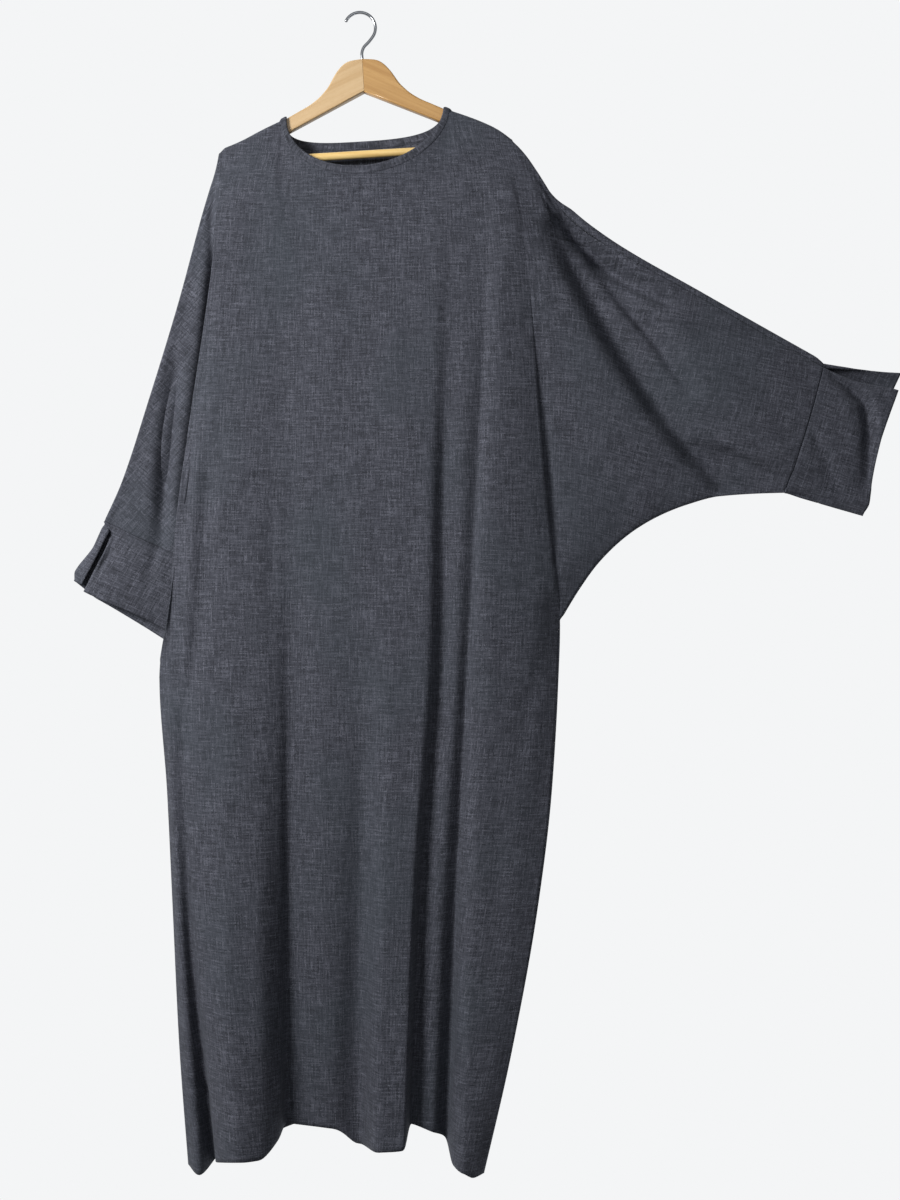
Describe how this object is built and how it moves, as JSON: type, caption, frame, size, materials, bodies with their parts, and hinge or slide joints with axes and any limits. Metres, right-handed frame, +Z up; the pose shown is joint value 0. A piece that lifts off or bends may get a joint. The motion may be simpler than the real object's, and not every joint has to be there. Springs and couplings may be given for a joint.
{
  "type": "batwing abaya on a wooden hanger",
  "caption": "Ankle-length batwing abaya in charcoal slub cloth, hanging on a wooden clothes hanger with one sleeve drawn out sideways and the other hanging down.",
  "frame": {"origin": "the point inside the crown of the hanger's hook that rests on a rail", "axes": "+Z up along the hanging garment, +X to the right of a viewer who faces its front, -Y towards that viewer, out of the front"},
  "size_m": [1.1792, 0.1455, 1.6595],
  "materials": {
    "cloth": "matt slub plain weave in charcoal",
    "hanger_wood": "clear satin varnish",
    "bar_wood": "plain turned dowel, lightly varnished",
    "hook_wire": "bright plating on steel wire"
  },
  "bodies": {
    "root": {"front": "cloth", "back": "cloth", "cuff_lowered": "cloth", "cuff_drawn": "cloth", "neck_band": "cloth", "hanger_arm_right": "hanger_wood", "hanger_arm_left": "hanger_wood", "hanger_bar": "bar_wood", "hanger_hook": "hook_wire"}
  },
  "joints": []
}
